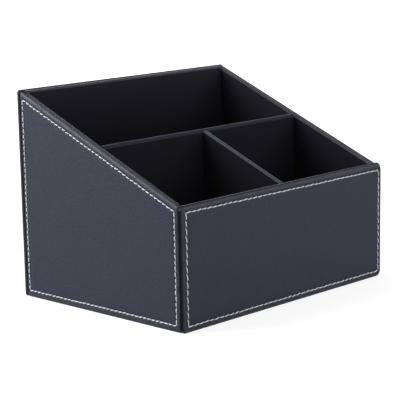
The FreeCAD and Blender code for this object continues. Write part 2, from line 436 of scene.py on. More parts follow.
def over_sheet(values, count, back=0.0, face=0.0):
    """Values on the border rings of a closed sheet, with even values on its two middles."""
    middle = 1 + len(MIDDLE_SHARES) * (count // 2)
    return np.concatenate((np.full(middle, back), values.ravel(), np.full(middle, face)))


def bell(distances, reach):
    """Bell curve exp(-(x / reach)^2), which is 1 at a distance of 0."""
    return np.exp(-((distances / reach) ** 2))


def arc(centre, radius, first, last, steps):
    """Points on an arc between two angles in degrees, both ends included."""
    angles = np.radians(np.linspace(first, last, steps + 1))
    return np.asarray(centre) + radius * np.stack((np.cos(angles), np.sin(angles)), axis=-1)


# Edges that bend by more than this stay sharp
SHARP_ANGLE = math.radians(50)


def add_piece(name, points, faces, material, nodes, attributes=None, uv=None):
    """Mesh piece from whole arrays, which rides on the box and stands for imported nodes."""
    mesh = bpy.data.meshes.new(name)
    mesh.from_pydata(points.tolist(), [], faces)
    mesh.update()
    for key, values in (attributes or {}).items():
        mesh.attributes.new(key, "FLOAT", "POINT").data.foreach_set("value", values.astype(np.float32))
    if uv is not None:
        corners = np.empty(len(mesh.loops), np.int32)
        mesh.loops.foreach_get("vertex_index", corners)
        mesh.uv_layers.new(name="thread").data.foreach_set("uv", uv[corners].astype(np.float32).ravel())
    mesh.shade_smooth()
    mesh.set_sharp_from_angle(angle=SHARP_ANGLE)
    mesh.materials.append(material)
    piece = bpy.data.objects.new(name, mesh)
    bpy.context.scene.collection.objects.link(piece)
    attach(piece, BODY)
    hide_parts(*nodes)
    return piece


# How far the front panel's seam lies further in at its bottom, right, top and left
FRONT_SEAM_SHIFTS = np.array((0.2, 0.0, -0.2, 0.2)) / 1000


class PanelShape:
    """Place, outline and seam of one wrapped outer panel."""

    def __init__(self, side, leather, seam):
        low, high = node_box(side + "_panel_leather")
        level = side in LEVEL_SIDES
        sign = 1.0 if side in ("front", "right") else -1.0
        axis = 0 if level else 1
        self.side = side
        self.across = sign * (RIGHT if level else BACK)
        outward = np.cross(self.across, UP)
        face = SIZES.outer_y if level else SIZES.outer_x
        self.plane = Plane(outward * face, self.across, UP)
        half = high[axis]
        bottom = low[2]
        tops = (high[2], high[2])
        if not level:
            tops = (SIZES.rim(-sign * half), SIZES.rim(sign * half))
        left_top, right_top = tops
        lean = leather.front_lean if side == "front" else 0.0
        self.outline = Outline([
            (-half, bottom), (half - lean, bottom), (half + lean, right_top), (-half, left_top)
        ])
        self.radii = np.full(4, leather.back_corner_radius if side == "back" else leather.side_radius)
        self.seam_insets = np.full(4, seam.inset)
        if side == "front":
            self.radii[[0, 3]], self.radii[1:3] = leather.front_left_radius, leather.front_right_radius
            self.seam_insets[:] = FRONT_SEAM_SHIFTS + seam.inset
        if not level:
            self.radii[:2] = leather.foot_radius
            self.radii[np.argmax(self.outline.turn)] = leather.point_radius
            self.seam_insets[:] = seam.bottom_inset, seam.end_inset, seam.inset, seam.end_inset
        self.seam = self.outline.inset_corners(self.seam_insets)
        self.seam_lengths = side_lengths(self.seam)
        pitch = seam.level_pitch if level else seam.side_pitch
        self.stitch_counts = np.round(self.seam_lengths / pitch).astype(int)


# Rings across the seam, as distances from its line towards the middle of the panel
SEAM_RINGS = np.array((
    -0.52, -0.34, -0.17, 0.0, 0.17, 0.34, 0.52, 0.72, 0.95, 1.3, 1.8, 2.5, 3.4, 4.6
)) / 1000
SEAM_CORNER_RADIUS = 0.0007

# Reaches of the seam's groove, dimples, puckers and shade, with the shares of pucker and shade
GROOVE_REACH = 0.00062
NEEDLE_REACH = 0.00050
PUCKER_REACH = 0.0022
PUCKER_SHARE = 0.4
SHADE_REACH = 0.0009
NEEDLE_SHADE = 0.4
PANEL_WAVELENGTH = 0.035

# Painted shade on the leather in the joints of the panels and in the creases along their rims, from 0 to
# 1, at heights on a panel's edge: at the upright ends of each panel and along its rim
PAINTED_SHADE_HEIGHTS = np.array((0.0, 0.9, 1.6, 1.9, 2.35, 2.62, 2.83, 2.96)) / 1000
SIDE_PAINTED_SHADE = (1.0, 1.0, 0.6, 0.2, 0.0, 0.0, 0.0, 0.0)
END_PAINTED_SHADE = {
    "front": (1.0, 1.0, 0.9, 0.78, 0.55, 0.3, 0.05, 0.0),
    "back": (0.3, 0.1, 0.0, 0.0, 0.0, 0.0, 0.0, 0.0),
    "left": SIDE_PAINTED_SHADE,
    "right": SIDE_PAINTED_SHADE,
}
RIM_PAINTED_SHADE = (0.3, 0.0, 0.0, 0.0, 0.0, 0.0, 0.0, 0.0)
FRONT_RIM_PAINTED_SHADE = (1.0, 1.0, 0.9, 0.6, 0.2, 0.0, 0.0, 0.0)

# Share of the painted shade left at the rear ends, further paleness of the side panels' ends and rims
# from wear and a painted highlight, and how much the painted shade pales at rounded corners
REAR_PAINTED_SHADE_SHARE = 0.15
END_WEAR_AND_HIGHLIGHT = 0.9
RIM_WEAR_AND_HIGHLIGHT = 1.6
CORNER_PALE = 0.6


def panel_section(leather, seam):
    """Section of a wrapped panel, from inside the face round the hem and the edge to the seam.

    Rows are (inset from the outline, height above the carcass). Also returns where the outer
    skin of the rolled edge starts and how many rings there are before the seam.
    """
    sheet, thickness = SIZES.leather, SIZES.panel_thickness
    hem_end = sheet + leather.hem_width
    inner_face = thickness - sheet
    face_end = seam.inset + SEAM_RINGS[-1]
    inside = [(face_end, inner_face), (sheet, inner_face), (sheet, sheet), (hem_end, sheet)]
    fold = leather.back_radius
    hem = [(hem_end, 0.0), ((hem_end + fold) / 2, 0.0)]
    back_fold = arc((fold, fold), fold, 270, 180, FOLD_STEPS)
    roll_size = np.array((leather.roll_width, leather.roll_height))
    roll_centre = (leather.roll_width, thickness - leather.roll_height)
    roll = roll_centre + roll_size * arc((0.0, 0.0), 1.0, 180, 90, ROLL_STEPS)
    face = np.stack((seam.inset + SEAM_RINGS, np.full(len(SEAM_RINGS), thickness)), axis=-1)
    section = np.concatenate((inside, hem, back_fold, roll, face))
    roll_first = len(inside) + len(hem) + len(back_fold)
    return section, roll_first, roll_first + len(roll)


def needle_closeness(panel, seam):
    """How close each ring point is to a needle hole, from 0 to 1, and the shares of the sides."""
    shares, parts = [], []
    setback = SEAM_CORNER_RADIUS * np.tan(panel.outline.turn / 2)
    sides = len(panel.stitch_counts)
    for side, count in enumerate(panel.stitch_counts):
        length = panel.seam_lengths[side]
        steps = np.arange(CORNER_CLEAR_STEPS, count * STEPS_PER_STITCH - CORNER_CLEAR_STEPS + 1)
        along = length * steps / (count * STEPS_PER_STITCH)
        straight = length - setback[side] - setback[(side + 1) % sides]
        shares.append((along - setback[side]) / straight)
        pitch = length / count
        off = np.abs(along / pitch - np.round(along / pitch)) * pitch
        corner_off = np.abs(np.linspace(-1.0, 1.0, CORNER_ARC_STEPS + 1)) * setback[side]
        parts.append(np.concatenate((corner_off, off)))
    return bell(np.concatenate(parts), NEEDLE_REACH), shares


def forwardness(depths):
    """How far forward depths lie, from 0 at the back of the box to 1 at its front."""
    return clamped(0.5 - depths / (2 * SIZES.outer_y))


def rim_lift(panel, flat, leather, seam):
    """Rise of a panel's rim above its seam: even at the back, and growing to the right in front."""
    above = np.maximum(flat[..., 1] - panel.seam[2, 1], 0.0) / seam.inset
    share = clamped((flat[..., 0] / SIZES.half_width + 1) / 2)
    rises = {"front": leather.front_lift * share, "back": leather.back_lift}
    return rises.get(panel.side, 0.0) * above


def panel_wear_and_highlight(panel, upward, rings, roll_first):
    """Paleness of a panel's roll from wear and a painted highlight: half a sine over the roll, stronger
    on the side panels.
    """
    rows = np.arange(rings) - roll_first
    on_roll = (rows > 0) & (rows < ROLL_STEPS)
    wear_and_highlight = np.where(on_roll, np.sin(math.pi * rows / ROLL_STEPS), 0.0)[:, None]
    if panel.side in LEVEL_SIDES:
        return np.repeat(wear_and_highlight, len(upward), axis=1)
    wear_and_highlight = wear_and_highlight * (1.0 + END_WEAR_AND_HIGHLIGHT * (1 - np.abs(upward)))
    return np.where(upward > 0.5, RIM_WEAR_AND_HIGHLIGHT * wear_and_highlight**2, wear_and_highlight)


def panel_painted_shade(panel, upward, heights, across):
    """Painted shade on a panel's edges in its joints and rim creases, from 0 to 1, by the height on the
    edge and the way it faces.

    It is paler at the rounded corners, and on the feet of the side panels it is a painted shadow that
    grows to the front.
    """
    level = panel.side in LEVEL_SIDES
    on_rim = np.abs(upward) if level else np.maximum(upward, 0.0)
    rim_table = FRONT_RIM_PAINTED_SHADE if panel.side == "front" else RIM_PAINTED_SHADE
    end, rim, foot = (
        np.interp(heights, PAINTED_SHADE_HEIGHTS, table)[:, None]
        for table in (END_PAINTED_SHADE[panel.side], rim_table, END_PAINTED_SHADE["front"])
    )
    depths = across * panel.across[1]
    rear_share = np.where(depths > 0, REAR_PAINTED_SHADE_SHARE, 1.0)
    painted_shade_mask = end * (1 - on_rim) * rear_share + rim * on_rim
    painted_shade_mask = painted_shade_mask * (1 - CORNER_PALE * 4 * on_rim * (1 - on_rim))
    if level:
        return painted_shade_mask
    # Painted shadow along the feet of the side panels, darker towards the front
    return np.maximum(painted_shade_mask, foot * np.maximum(-upward, 0.0) * forwardness(depths))


def wrapped_leather(panel, leather, seam):
    """Leather of a wrapped panel: its section carried round the outline.

    On the face the height drops by a groove exp(-(x/reach)^2) at distance x from the seam, by a
    wider pucker of the same form and by a dimple at each needle hole.
    """
    section, roll_first, face_first = panel_section(leather, seam)
    needle, shares = needle_closeness(panel, seam)
    insets, heights = section[:, 0], section[:, 1]
    side_insets = np.repeat(insets[:, None], len(panel.seam_insets), axis=1)
    skin = slice(roll_first, None)
    to_seam = np.minimum(insets[skin] / seam.inset, 1.0)[:, None]
    past_seam = np.maximum(insets[skin] - seam.inset, 0.0)[:, None]
    side_insets[skin] = to_seam * panel.seam_insets + past_seam
    radii = np.maximum(panel.radii - insets[:, None], SEAM_CORNER_RADIUS)
    flat = panel.outline.rings(side_insets, radii, shares)
    flat[..., 1] += rim_lift(panel, flat, leather, seam)
    rings, count = flat.shape[:2]
    off_seam = np.where(np.arange(rings) >= face_first, insets - seam.inset, np.inf)[:, None]
    groove = seam.groove * bell(off_seam, GROOVE_REACH)
    hole = seam.needle * bell(off_seam, NEEDLE_REACH) * needle
    pucker = PUCKER_SHARE * seam.groove * bell(off_seam, PUCKER_REACH)
    points, faces = closed_sheet(panel.plane, flat, heights[:, None] - groove - hole - pucker)
    outer = np.zeros((rings, count))
    outer[skin] = 1.0
    uneven = leather.ripple * ripple(points, PANEL_WAVELENGTH, panel.stitch_counts.sum())
    points = points + (over_sheet(outer, count, face=1.0) * uneven)[:, None] * panel.plane.outward
    upward = panel.outline.upward(shares)
    # Painted shade along the seam, rolls paler from wear and a painted highlight, and painted shade on
    # joints, creases and feet
    tones = {
        "seam_shade": bell(off_seam, SHADE_REACH) * (1 - NEEDLE_SHADE + NEEDLE_SHADE * needle),
        "edge_wear": panel_wear_and_highlight(panel, upward, rings, roll_first),
        "edge_tuck": panel_painted_shade(panel, upward, heights, flat[0, :, 0]),
    }
    return points, faces, {name: over_sheet(values, count) for name, values in tones.items()}


# How much single stitches differ in turn, length, place beside the seam and height
STITCH_TURN = math.radians(2.5)
STITCH_LENGTHS = (0.94, 1.08)
STITCH_ASIDE = 0.00007
STITCH_RISES = (0.85, 1.1)

# Form of a stitch: width at its ends and height as shares of its width, dip as a share of the groove
STITCH_END_SHARE = 0.6
STITCH_HEIGHT_SHARE = 0.4
STITCH_DIP_SHARE = 1.4


def stitch_places(panel, seam):
    """Middle, direction and half length of each stitch of a panel, in order round its seam."""
    runs = following(panel.seam) - panel.seam
    centres, angles, halves = [], [], []
    for side, count in enumerate(panel.stitch_counts):
        steps = (np.arange(count) + 0.5) / count
        centres.append(panel.seam[side] + steps[:, None] * runs[side])
        angles.append(np.full(count, math.atan2(runs[side][1], runs[side][0])))
        halves.append(np.full(count, (panel.seam_lengths[side] / count - seam.gap) / 2))
    return map(np.concatenate, (centres, angles, halves))


def seam_stitches(panel, seam):
    """Stitches of a panel: short tubes of oval section that dip into the leather at both ends.

    The centre line rises by 1 - x^4 from end to middle and the section narrows to the ends. Each
    stitch is turned a little against the seam and differs slightly from its neighbours.
    """
    centres, angles, halves = stitch_places(panel, seam)
    total = len(angles)
    draw = np.random.default_rng(total)
    angles = angles + seam.slant + draw.normal(0.0, STITCH_TURN, total)
    halves = halves * draw.uniform(*STITCH_LENGTHS, total)
    aside = draw.normal(0.0, STITCH_ASIDE, total)
    rise = draw.uniform(*STITCH_RISES, total)
    along = np.stack((np.cos(angles), np.sin(angles)), axis=-1)
    square = np.stack((-along[:, 1], along[:, 0]), axis=-1)
    station = np.linspace(-1.0, 1.0, THREAD_STATIONS)
    turn = np.arange(THREAD_SIDES) * 2 * math.pi / THREAD_SIDES
    taper = STITCH_END_SHARE + (1 - STITCH_END_SHARE) * np.sqrt(1.0 - np.abs(station) ** 4)
    wide = seam.thread / 2 * taper[:, None] * np.cos(turn)
    tall = seam.thread * STITCH_HEIGHT_SHARE * taper[:, None] * np.sin(turn)
    crest = SIZES.panel_thickness - seam.groove + seam.thread / 2
    dip = seam.groove * STITCH_DIP_SHARE * np.abs(station) ** 4
    spot = centres + aside[:, None] * square
    flat = (
        spot[:, None, None]
        + (halves[:, None] * station)[:, :, None, None] * along[:, None, None]
        + wide[None, :, :, None] * square[:, None, None]
    )
    heights = crest - dip[None, :, None] + rise[:, None, None] * tall[None]
    points = panel.plane.place(flat, heights)
    size = THREAD_STATIONS * THREAD_SIDES
    first = np.arange(total)[:, None] * size
    tube = (first[:, :, None] + ring_quads(0, THREAD_SIDES, THREAD_STATIONS)[None]).reshape(-1, 4)
    near = first + np.arange(THREAD_SIDES)[::-1]
    far = first + size - THREAD_SIDES + np.arange(THREAD_SIDES)
    length = np.broadcast_to(halves[:, None, None] * station[:, None] / seam.thread, heights.shape)
    round_it = np.broadcast_to(np.arange(THREAD_SIDES) / THREAD_SIDES, heights.shape)
    uv = np.stack((length, round_it), axis=-1).reshape(-1, 2)
    return points.reshape(-1, 3), tube.tolist() + near.tolist() + far.tolist(), uv


def rounded_section(corners, radii):
    """Closed section with straight sides, each corner rounded by an arc or left as a point."""
    corners = np.asarray(corners, float)
    back = unit(np.roll(corners, 1, axis=0) - corners)
    ahead = unit(following(corners) - corners)
    half = np.arccos(np.clip((back * ahead).sum(axis=1), -1.0, 1.0)) / 2
    parts = []
    for corner, radius in enumerate(radii):
        if radius == 0:
            parts.append(corners[corner][None])
            continue
        reach = radius / math.tan(half[corner])
        start, end = corners[corner] + back[corner] * reach, corners[corner] + ahead[corner] * reach
        centre = corners[corner] + unit(back[corner] + ahead[corner]) * radius / math.sin(half[corner])
        share = np.linspace(0.0, 1.0, FOLD_STEPS + 1)[:, None]
        parts.append(centre + radius * unit((1 - share) * (start - centre) + share * (end - centre)))
    return np.concatenate(parts)


def divided(section, station):
    """Closed section with its long sides divided into steps of about a station."""
    counts = np.ceil(side_lengths(section) / station).astype(int)
    parts = [
        start + (end - start) * (np.arange(count) / count)[:, None]
        for start, end, count in zip(section, following(section), counts)
    ]
    return np.concatenate(parts)


def carried_section(origin, across, up, along, section, starts, ends):
    """Closed section carried along a straight path, with flat ends.

    Each point of the section, origin + across * a + up * b, runs between its own start and end
    along the path. The section is turned the way that makes the faces point outwards.
    """
    if enclosed(section) * np.dot(np.cross(across, up), along) < 0:
        section, starts, ends = section[::-1], starts[::-1], ends[::-1]
    line = origin + section[:, :1] * across + section[:, 1:] * up
    stations = max(int(np.ceil((ends - starts).max() / STRIP_STATION)), 1)
    share = np.linspace(0.0, 1.0, stations + 1)[:, None]
    run = starts + share * (ends - starts)
    points = line[None] + run[..., None] * along
    count = len(section)
    quads = ring_quads(0, count, stations + 1)
    first = np.arange(count)[::-1]
    last = stations * count + np.arange(count)
    return points.reshape(-1, 3), quads.tolist() + [first.tolist(), last.tolist()]


def wall_section(leather):
    """Section of a wall's rim strip: over the board's top edge, then folded down into the bay.

    Across runs from the board's outer face towards the bay, and up is square to the rim.
    """
    sheet, inside = SIZES.leather, SIZES.board
    fold = inside + sheet
    edge = sheet / 3
    corners = [
        (0.0, 0.0),
        (inside, 0.0),
        (inside, -SIZES.strip_leg),
        (fold, -SIZES.strip_leg),
        (fold, sheet),
        (0.0, sheet),
    ]
    radii = [0, 0, 0, edge, leather.fold_radius, edge]
    return divided(rounded_section(corners, radii), STRIP_STATION / 2)


def divider_section(half_board, leather):
    """Section of a divider's strip: over the board's top and down both of its faces."""
    sheet, leg = SIZES.leather, SIZES.strip_leg
    outer = half_board + sheet
    corners = [
        (-half_board, 0.0),
        (-half_board, -leg),
        (-outer, -leg),
        (-outer, sheet),
        (outer, sheet),
        (outer, -leg),
        (half_board, -leg),
        (half_board, 0.0),
    ]
    edge = sheet / 3
    radii = [0, 0, edge, leather.divider_radius, leather.divider_radius, edge, 0, 0]
    return divided(rounded_section(corners, radii), STRIP_STATION / 2)


def sloped_run(section, y_range):
    """Starts and ends along the slope at which each point of a section meets two upright planes."""
    shift = section[:, 1] * math.sin(SIZES.slope_angle)
    front, back = y_range
    return (front + shift) / math.cos(SIZES.slope_angle), (back + shift) / math.cos(SIZES.slope_angle)


# How far the painted shade of the crease beside a panel reaches onto a rim strip, and where the painted
# shade on the strip's fold into the bay lies
CREASE_REACH = 0.0009
CREASE_SHARE = {"front": 1.0, "back": 0.1, "left": 0.1, "right": 0.0}
FOLD_FIRST = 0.0004
FOLD_REACH = 0.0010

# Painted shade on a strip's fold into the bay, at its rear and front ends
FOLD_PAINTED_SHADE = {"front": (0.0, 0.0), "back": (0.0, 0.0), "left": (0.15, 1.0), "right": (0.4, 0.1)}
# Painted shade over the whole cross divider strip
CROSS_PAINTED_SHADE = 0.42

# Paleness of the strips from wear and a painted highlight
STRIP_WEAR_AND_HIGHLIGHT = {
    "front": 0.9,
    "back": 0.6,
    "left": 0.1,
    "right": 1.3,
    "cross_divider": 0.0,
    "front_divider": 0.6,
}

# Unevenness of the strips, drop of the left one's fold, and the front one's share of its panel's rise
STRIP_WAVELENGTH = 0.02
STRIP_SEEDS = {
    "left": 10, "right": 12, "front": 20, "back": 22, "cross_divider": 31, "front_divider": 32
}
FOLD_DROP = 0.0006
STRIP_LIFT = 0.6

UPHILL = np.array((0.0, math.cos(SIZES.slope_angle), math.sin(SIZES.slope_angle)))
SQUARE_UP = np.array((0.0, -math.sin(SIZES.slope_angle), math.cos(SIZES.slope_angle)))


def sloped_origin(x):
    """Point of the boards' sloping tops at a place x, halfway between front and back."""
    return np.array((x, 0.0, SIZES.board_rim(0.0)))


def strip_painted_shade(points, side):
    """Painted shade on a rim strip, from 0 to 1, in its crease beside the panel and on its fold into the
    bay.
    """
    outside, axis = (SIZES.outer_y, 1) if side in LEVEL_SIDES else (SIZES.outer_x, 0)
    off = outside - np.abs(points[:, axis])
    crease = clamped(1.0 - off / CREASE_REACH) * CREASE_SHARE[side]
    rear, forward = FOLD_PAINTED_SHADE[side]
    fold = np.interp(points[:, 1], (-SIZES.outer_y, SIZES.outer_y), (forward, rear))
    return np.maximum(crease, clamped((off - FOLD_FIRST) / FOLD_REACH) * fold)


def dropped_fold(points):
    """Left rim strip whose top drops towards its fold, in proportion to the way forward."""
    over = clamped((points[:, 2] - SIZES.board_rim(points[:, 1])) / SIZES.leather)
    inner = clamped((points[:, 0] + SIZES.outer_x - FOLD_FIRST) / SIZES.board)
    return points - (FOLD_DROP * over * inner * forwardness(points[:, 1]))[:, None] * UP


def lifted_top(points, leather):
    """Front rim strip whose top rises to the right, in proportion to the rise of its panel."""
    board_top = SIZES.front_top - SIZES.leather
    over = clamped((points[:, 2] - board_top) / SIZES.leather)
    share = (points[:, 0] / SIZES.outer_x + 1) / 2
    return points + (STRIP_LIFT * leather.front_lift * over * share)[:, None] * UP


def add_strip(edge, kind, points, faces, dark, leather):
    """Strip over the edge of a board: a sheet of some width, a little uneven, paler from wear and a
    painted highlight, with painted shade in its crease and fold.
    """
    node = edge + kind + "_strip"
    tones = {"edge_tuck": dark, "edge_wear": np.full(len(points), STRIP_WEAR_AND_HIGHLIGHT[edge])}
    uneven = leather.ripple * ripple(points, STRIP_WAVELENGTH, STRIP_SEEDS[edge])
    points = points + uneven[:, None] * UP
    material = bpy.data.materials["box_leather"]
    piece = add_piece(edge + kind + "_leather", points, faces, material, [node], tones)
    sloping = edge in ("left", "right", "front_divider")


class Wire:
    """A shader socket that adds a Math node for each operator, so that a finish reads as a formula."""

    def __init__(self, tree, socket=None):
        self.tree = tree
        self.socket = socket

    def node(self, kind, settings=None, inputs=None, output=0):
        """Add a node: its settings come first, then its sockets from values or wires."""
        made = self.tree.nodes.new(kind)
        for name, value in (settings or {}).items():
            setattr(made, name, value)
        for name, value in (inputs or {}).items():
            if isinstance(value, Wire):
                self.tree.links.new(value.socket, made.inputs[name])
            else:
                made.inputs[name].default_value = value
        return Wire(self.tree, made.outputs[output] if made.outputs else None)

    def math(self, operation, *values):
        """Math node on wires and numbers."""
        return self.node("ShaderNodeMath", {"operation": operation}, dict(enumerate(values)))

    def __add__(self, other):
        return self.math("ADD", self, other)

    def __radd__(self, other):
        return self.math("ADD", other, self)

    def __sub__(self, other):
        return self.math("SUBTRACT", self, other)

    def __rsub__(self, other):
        return self.math("SUBTRACT", other, self)

    def __mul__(self, other):
        return self.math("MULTIPLY", self, other)

    def __rmul__(self, other):
        return self.math("MULTIPLY", other, self)


def new_finish(name):
    """Empty node material, with a wire to add its nodes by."""
    material = bpy.data.materials.new(name)
    material.use_nodes = True
    material.node_tree.nodes.clear()
    return material, Wire(material.node_tree)


def object_place(wire):
    """Coordinates of the piece's own mesh, in metres."""
    return wire.node("ShaderNodeTexCoord", output="Object")


def painted(wire, name):
    """Value that the points of a piece carry under a name."""
    return wire.node("ShaderNodeAttribute", {"attribute_name": name}, output="Fac")


def noise(wire, place, per_metre, detail=2.0, rough=0.5):
    """Noise from 0 to 1 with a number of blots to the metre."""
    inputs = {"Vector": place, "Scale": per_metre, "Detail": detail, "Roughness": rough}
    return wire.node("ShaderNodeTexNoise", {}, inputs)


def cells(wire, place, per_metre):
    """Distances in a pattern of rounded cells, with a number of cells to the metre."""
    return wire.node("ShaderNodeTexVoronoi", {"feature": "F1"}, {"Vector": place, "Scale": per_metre})


def mixed(wire, factor, first, second):
    """Colour between two others."""
    settings = {"data_type": "RGBA"}
    return wire.node("ShaderNodeMix", settings, {0: factor, 6: first, 7: second}, output=2)


def bumped(wire, height, depth, strength):
    """Normal of a surface with a height from 0 to 1 over a depth in metres."""
    return wire.node("ShaderNodeBump", {}, {"Height": height, "Distance": depth, "Strength": strength})


def tinted(colour, share):
    """Colour with all channels scaled, as a socket value."""
    return tuple(min(channel * share, 1.0) for channel in colour) + (1.0,)


def glossed(wire, tone, rough, gloss, normal, more=None):
    """Principled shader of a finish, with further sockets by name."""
    inputs = {"Base Color": tone, "Roughness": rough, "Specular IOR Level": gloss, "Normal": normal}
    return wire.node("ShaderNodeBsdfPrincipled", {}, {**inputs, **(more or {})})


def show(wire, shader, output="ShaderNodeOutputMaterial"):
    """Lead a shader to the output of its tree."""
    wire.node(output, {}, {"Surface": shader})


# Blots, cells or fibres to the metre in the patterns of the finishes
LEATHER_CLOUDS = 60.0
LEATHER_PEBBLES = 720.0
LEATHER_CREASES = 420.0
LEATHER_PORES = 2200.0
LEATHER_WEAR_AND_HIGHLIGHT_BLOTS = 160.0
THREAD_FLUFF = 4200.0
PILE_CLOUDS = 35.0
FLOCK_FIBRES = 1500.0
FELT_FIBRES = 900.0
BOARD_CLOUDS = 30.0
BOARD_FIBRES = 700.0
CARD_FIBRES = 1100.0

# Depths of their relief
LEATHER_RELIEF = 0.00028
THREAD_RELIEF = 0.00012
FLOCK_RELIEF = 0.0002
FELT_RELIEF = 0.0003
BOARD_RELIEF = 0.0001

# How much of the painted shade shows on the leather's joints, creases and feet, and how much the board's
# fibres are drawn out
PAINTED_SHADE_COVER = 0.93
FIBRE_STRETCH = (0.35, 1.0, 1.0)


def leather_finish(leather):
    """Soft black leather-look sheet: fine pebble grain, cloudy tone, edges paler from wear and a painted
    highlight, painted shade along the needle line, and a dark sheet of painted shade in joints, creases
    and at the feet.
    """
    material, wire = new_finish("box_leather")
    place = object_place(wire)
    cloud = noise(wire, place, LEATHER_CLOUDS, detail=4.0, rough=0.6)
    pebble = cells(wire, place, LEATHER_PEBBLES)
    crease = noise(wire, place, LEATHER_CREASES, detail=3.0, rough=0.6)
    pores = noise(wire, place, LEATHER_PORES)
    wear_and_highlight_blots = noise(wire, place, LEATHER_WEAR_AND_HIGHLIGHT_BLOTS, detail=3.0, rough=0.7)
    wear_and_highlight, groove_shade, painted_shade_mask = (painted(wire, name) for name in ("edge_wear", "seam_shade", "edge_tuck"))
    grain = pebble * 0.5 + crease * 0.35 + pores * 0.15
    # Blotchy paleness on rolls and rims: partly wear, partly a painted highlight
    blotchy_wear_and_highlight = wear_and_highlight * (wear_and_highlight_blots * 2.4 - 0.7)
    tone = mixed(wire, cloud, tinted(leather.colour, 0.75), tinted(leather.colour, 1.25))
    tone = mixed(wire, crease * 0.6, tone, tinted(leather.colour, 0.5))
    tone = mixed(wire, blotchy_wear_and_highlight, tone, tinted(leather.wear_and_highlight, 1.0))
    # Painted shade in the seam's groove and at the needle holes
    tone = mixed(wire, groove_shade * 0.55, tone, tinted(leather.colour, 0.3))
    rough = 0.46 + cloud * 0.10 + grain * 0.08 - wear_and_highlight * 0.05
    normal = bumped(wire, grain, LEATHER_RELIEF, strength=0.65)
    sheet = glossed(wire, tone, rough, gloss=0.35, normal=normal)
    # Dark diffuse sheet, mixed in as painted shade on the joints, creases and feet
    dark = wire.node("ShaderNodeBsdfDiffuse", {}, {"Color": tinted(leather.colour, 0.1)})
    show(wire, wire.node("ShaderNodeMixShader", {}, {0: painted_shade_mask * PAINTED_SHADE_COVER, 1: sheet, 2: dark}))
    return material


def thread_finish(seam):
    """White sewing thread of two twisted plies, with painted shade in the hollows of the twist and paler
    crests.
    """
    material, wire = new_finish("box_thread")
    place = wire.node("ShaderNodeUVMap", {"uv_map": "thread"})
    along, around = (wire.node("ShaderNodeSeparateXYZ", {}, {0: place}, output=axis) for axis in (0, 1))
    twist = wire.math("FRACT", along * 1.4 + around * 2.0)
    ply = 1.0 - wire.math("ABSOLUTE", twist * 2.0 - 1.0)
    fluff = noise(wire, object_place(wire), THREAD_FLUFF, detail=3.0, rough=0.7)
    # Painted shade in the hollows of the twist, paler on its crests
    tone = mixed(wire, ply, tinted(seam.colour, 0.94), tinted(seam.colour, 1.06))
    tone = mixed(wire, fluff * 0.1, tone, tinted(seam.colour, 0.9))
    normal = bumped(wire, ply * 0.8 + fluff * 0.2, THREAD_RELIEF, strength=0.6)
    show(wire, glossed(wire, tone, 0.55 + fluff * 0.2, gloss=0.3, normal=normal))
    return material


def pile_finish(name, colour, fibres, relief):
    """Short matt pile, such as flock or felt: tufts of fibre over a cloudy tone, with painted light that
    makes it paler at the rims.
    """
    material, wire = new_finish(name)
    place = object_place(wire)
    cloud = noise(wire, place, PILE_CLOUDS, detail=3.0)
    tuft = noise(wire, place, fibres, detail=4.0, rough=0.7)
    fibre = noise(wire, place, fibres * 3.0)
    pile = tuft * 0.6 + fibre * 0.4
    tone = mixed(wire, cloud, tinted(colour, 0.8), tinted(colour, 1.2))
    tone = mixed(wire, pile * 0.5, tone, tinted(colour, 1.6))
    # Painted light: paler pile near a bay's rim
    tone = mixed(wire, painted(wire, "rim_fade"), tone, tinted(colour, 3.2))
    sheen = {"Sheen Weight": 0.05, "Sheen Roughness": 0.5}
    normal = bumped(wire, pile, relief, strength=0.6)
    show(wire, glossed(wire, tone, 0.85 + pile * 0.12, gloss=0.1, normal=normal, more=sheen))
    return material


def board_finish(name, colour, fibres):
    """Pressed board or grey card: matt, with fine flattened fibres and a cloudy tone."""
    material, wire = new_finish(name)
    place = object_place(wire)
    stretch = wire.node("ShaderNodeMapping", {}, {"Vector": place, "Scale": FIBRE_STRETCH})
    fibre = noise(wire, stretch, fibres, detail=5.0, rough=0.65)
    cloud = noise(wire, place, BOARD_CLOUDS)
    tone = mixed(wire, fibre * 0.7 + cloud * 0.3, tinted(colour, 0.7), tinted(colour, 1.25))
    normal = bumped(wire, fibre, BOARD_RELIEF, strength=0.5)
    show(wire, glossed(wire, tone, 0.72 + fibre * 0.2, gloss=0.3, normal=normal))
    return material


# Distances from the middle of the box between which the floor turns from near white to white
FLOOR_FADE = {"From Min": 0.25, "From Max": 0.9}


def floor_finish(stage):
    """Pale floor that keeps the shadow and shows white to the camera and in reflections."""
    material, wire = new_finish("stage_floor")
    straight, gloss, through = (
        wire.node("ShaderNodeLightPath", output=name)
        for name in ("Is Camera Ray", "Is Glossy Ray", "Is Transmission Ray")
    )
    place = object_place(wire)
    away = wire.node("ShaderNodeVectorMath", {"operation": "LENGTH"}, {0: place}, output="Value")
    far = wire.node("ShaderNodeMapRange", {}, {"Value": away, **FLOOR_FADE})
    white = straight * (stage.near_white + far * (1.0 - stage.near_white))
    white = white + (gloss + through) * stage.gloss_white
    diffuse = wire.node("ShaderNodeBsdfDiffuse", {}, {"Color": tinted(stage.floor, 1.0)})
    glow = wire.node("ShaderNodeEmission", {}, {"Strength": 1.0})
    bright = wire.node("ShaderNodeAddShader", {}, {0: diffuse, 1: glow})
    show(wire, wire.node("ShaderNodeMixShader", {}, {0: white, 1: diffuse, 2: bright}))
    return material


class StorageBoxOperator:
    """What the operators share: they run on the scene's own settings and can be undone."""

    bl_options = {"REGISTER", "UNDO"}


